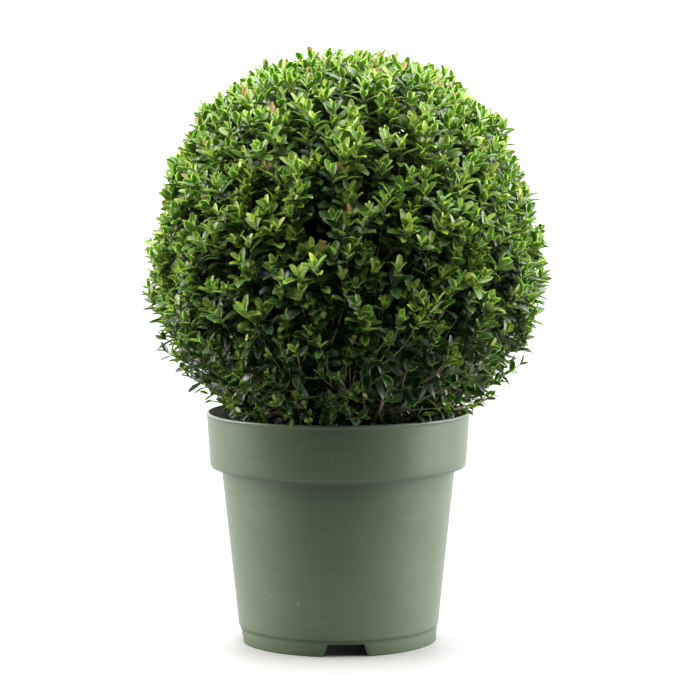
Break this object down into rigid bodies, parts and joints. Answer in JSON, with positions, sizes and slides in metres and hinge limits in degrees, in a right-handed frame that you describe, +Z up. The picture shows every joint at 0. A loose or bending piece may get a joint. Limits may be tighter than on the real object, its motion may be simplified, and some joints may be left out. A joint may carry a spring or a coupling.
{
  "type": "potted box topiary ball",
  "caption": "Evergreen box shrub clipped to a dense ball of small glossy leaves, standing in a round sage green plastic nursery container with a wide rim band.",
  "frame": {"origin": "at ground level under the middle of the whole plant's box, 5 mm along +X from the pot's axis, because the ball leans a little to that side", "axes": "+Z up the pot's axis, -Y towards the side with the notch that faces the viewer in the picture, +X to that viewer's right"},
  "size_m": [0.4448, 0.441, 0.6254],
  "materials": {
    "sage_green_plastic": "satin moulded polypropylene",
    "moist_compost": "dull dark crumbs",
    "box_bark": "finely fissured bark",
    "box_foliage": "glossy small leaves"
  },
  "bodies": {
    "root": {"pot": "sage_green_plastic", "potting_soil": "moist_compost", "main_stem": "box_bark", "upright_bough_1": "box_bark", "upright_bough_2": "box_bark", "upright_bough_3": "box_bark", "upright_bough_4": "box_bark", "upright_bough_5": "box_bark", "upright_bough_6": "box_bark", "upright_bough_7": "box_bark", "upright_bough_8": "box_bark", "low_bough_1": "box_bark", "low_bough_2": "box_bark", "low_bough_3": "box_bark", "low_bough_4": "box_bark", "low_bough_5": "box_bark", "low_bough_6": "box_bark", "low_bough_7": "box_bark", "low_bough_8": "box_bark", "foliage_ball": "box_foliage", "skirt_spray_1": "box_foliage", "skirt_spray_2": "box_foliage", "skirt_spray_3": "box_foliage", "skirt_spray_4": "box_foliage", "skirt_spray_5": "box_foliage", "skirt_spray_6": "box_foliage", "skirt_spray_7": "box_foliage", "skirt_spray_8": "box_foliage"}
  },
  "joints": []
}
